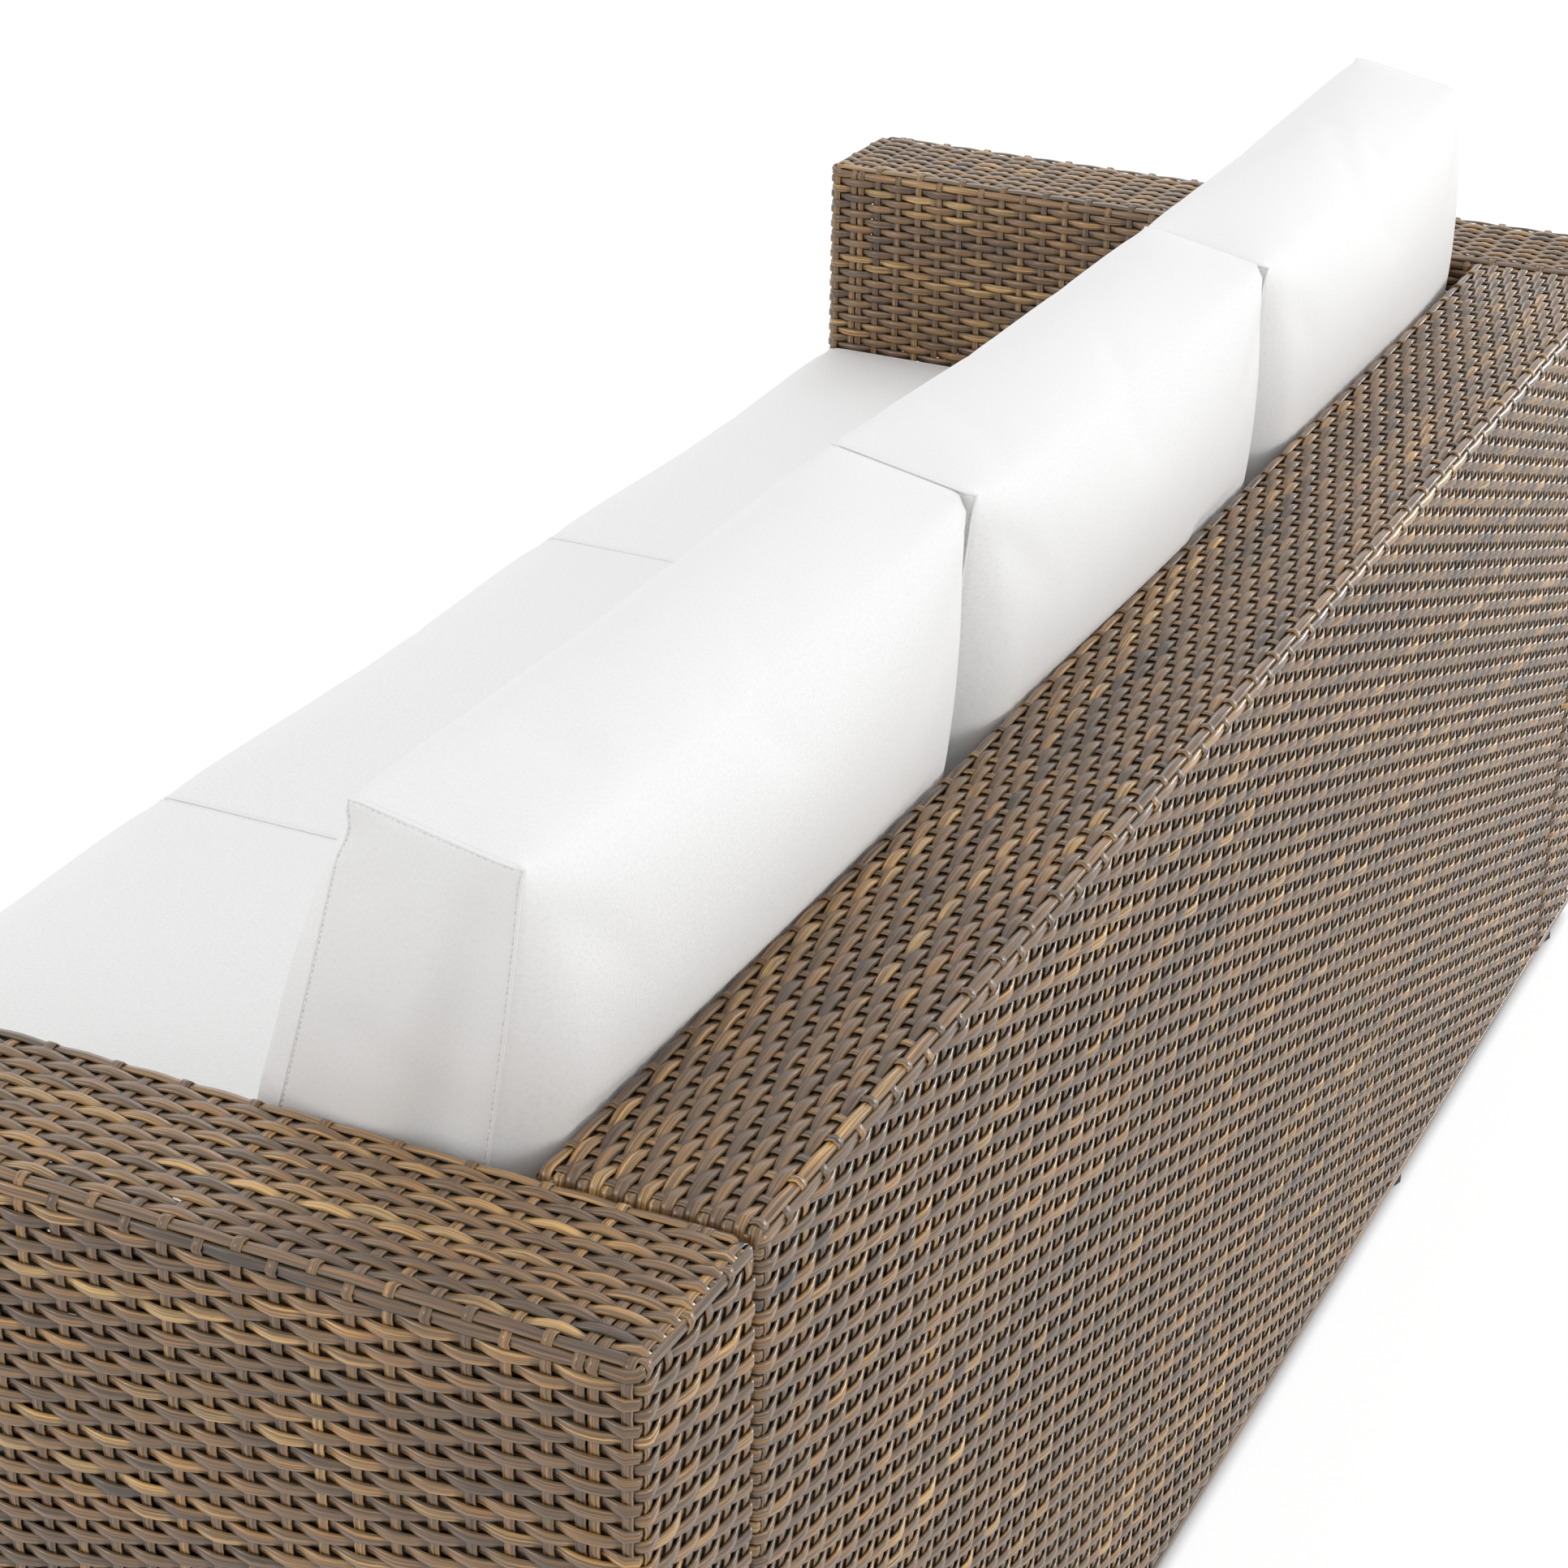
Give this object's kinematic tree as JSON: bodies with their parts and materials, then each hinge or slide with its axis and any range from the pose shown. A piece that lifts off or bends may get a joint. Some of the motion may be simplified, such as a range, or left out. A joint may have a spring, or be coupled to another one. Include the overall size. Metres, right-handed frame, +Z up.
{
  "type": "rattan garden sofa",
  "caption": "Three-seat box-arm garden sofa: flat woven plastic rattan over bolted steel tube modules, with loose boxed seat and back cushions",
  "frame": {"origin": "on the floor, under the middle of the sofa's outline", "axes": "+Z up, +X along the length towards the sitter's left arm, -Y to the front, so +Y is the back"},
  "size_m": [1.87, 0.735, 0.8376],
  "materials": {
    "woven_strand": "flat extruded PE strand in mixed browns, satin, streaked along its length, plain weave",
    "frame_tube": "powder-coated square steel tube, brown-grey, fine orange-peel",
    "foot_plastic": "moulded black polyethylene",
    "bolt_steel": "zinc-plated steel button head",
    "cushion_fabric": "white solution-dyed outdoor cloth in fine plain weave, with plain topstitched seams"
  },
  "bodies": {
    "frame": {"arm_frame_left": "frame_tube", "arm_frame_right": "frame_tube", "arm_weave_left": "woven_strand", "arm_weave_right": "woven_strand", "back_frame": "frame_tube", "back_weave": "woven_strand", "seat_frame": "frame_tube", "apron_weave": "woven_strand", "deck_weave": "woven_strand", "arm_left_foot_front": "foot_plastic", "arm_left_foot_rear": "foot_plastic", "arm_right_foot_front": "foot_plastic", "arm_right_foot_rear": "foot_plastic", "back_foot_left": "foot_plastic", "back_foot_right": "foot_plastic", "seat_foot_left": "foot_plastic", "seat_foot_right": "foot_plastic", "seat_bolt_left_front": "bolt_steel", "seat_bolt_left_rear": "bolt_steel", "seat_bolt_right_front": "bolt_steel", "seat_bolt_right_rear": "bolt_steel", "back_bolt_left_lower": "bolt_steel", "back_bolt_left_upper": "bolt_steel", "back_bolt_right_lower": "bolt_steel", "back_bolt_right_upper": "bolt_steel", "rear_bolt_left": "bolt_steel", "rear_bolt_right": "bolt_steel"},
    "seat_left": {"seat_cushion_left": "cushion_fabric"},
    "backrest_left": {"back_cushion_left": "cushion_fabric"},
    "seat_centre": {"seat_cushion_centre": "cushion_fabric"},
    "backrest_centre": {"back_cushion_centre": "cushion_fabric"},
    "seat_right": {"seat_cushion_right": "cushion_fabric"},
    "backrest_right": {"back_cushion_right": "cushion_fabric"}
  },
  "joints": [
    {"name": "seat_cushion_left_lift", "type": "slide", "parent": "frame", "child": "seat_left", "axis": [0, 0, 1], "range_m": [0, 0.32]},
    {"name": "back_cushion_left_lift", "type": "slide", "parent": "seat_left", "child": "backrest_left", "axis": [0, 0, 1], "range_m": [0, 0.2]},
    {"name": "seat_cushion_centre_lift", "type": "slide", "parent": "frame", "child": "seat_centre", "axis": [0, 0, 1], "range_m": [0, 0.32]},
    {"name": "back_cushion_centre_lift", "type": "slide", "parent": "seat_centre", "child": "backrest_centre", "axis": [0, 0, 1], "range_m": [0, 0.2]},
    {"name": "seat_cushion_right_lift", "type": "slide", "parent": "frame", "child": "seat_right", "axis": [0, 0, 1], "range_m": [0, 0.32]},
    {"name": "back_cushion_right_lift", "type": "slide", "parent": "seat_right", "child": "backrest_right", "axis": [0, 0, 1], "range_m": [0, 0.2]}
  ]
}
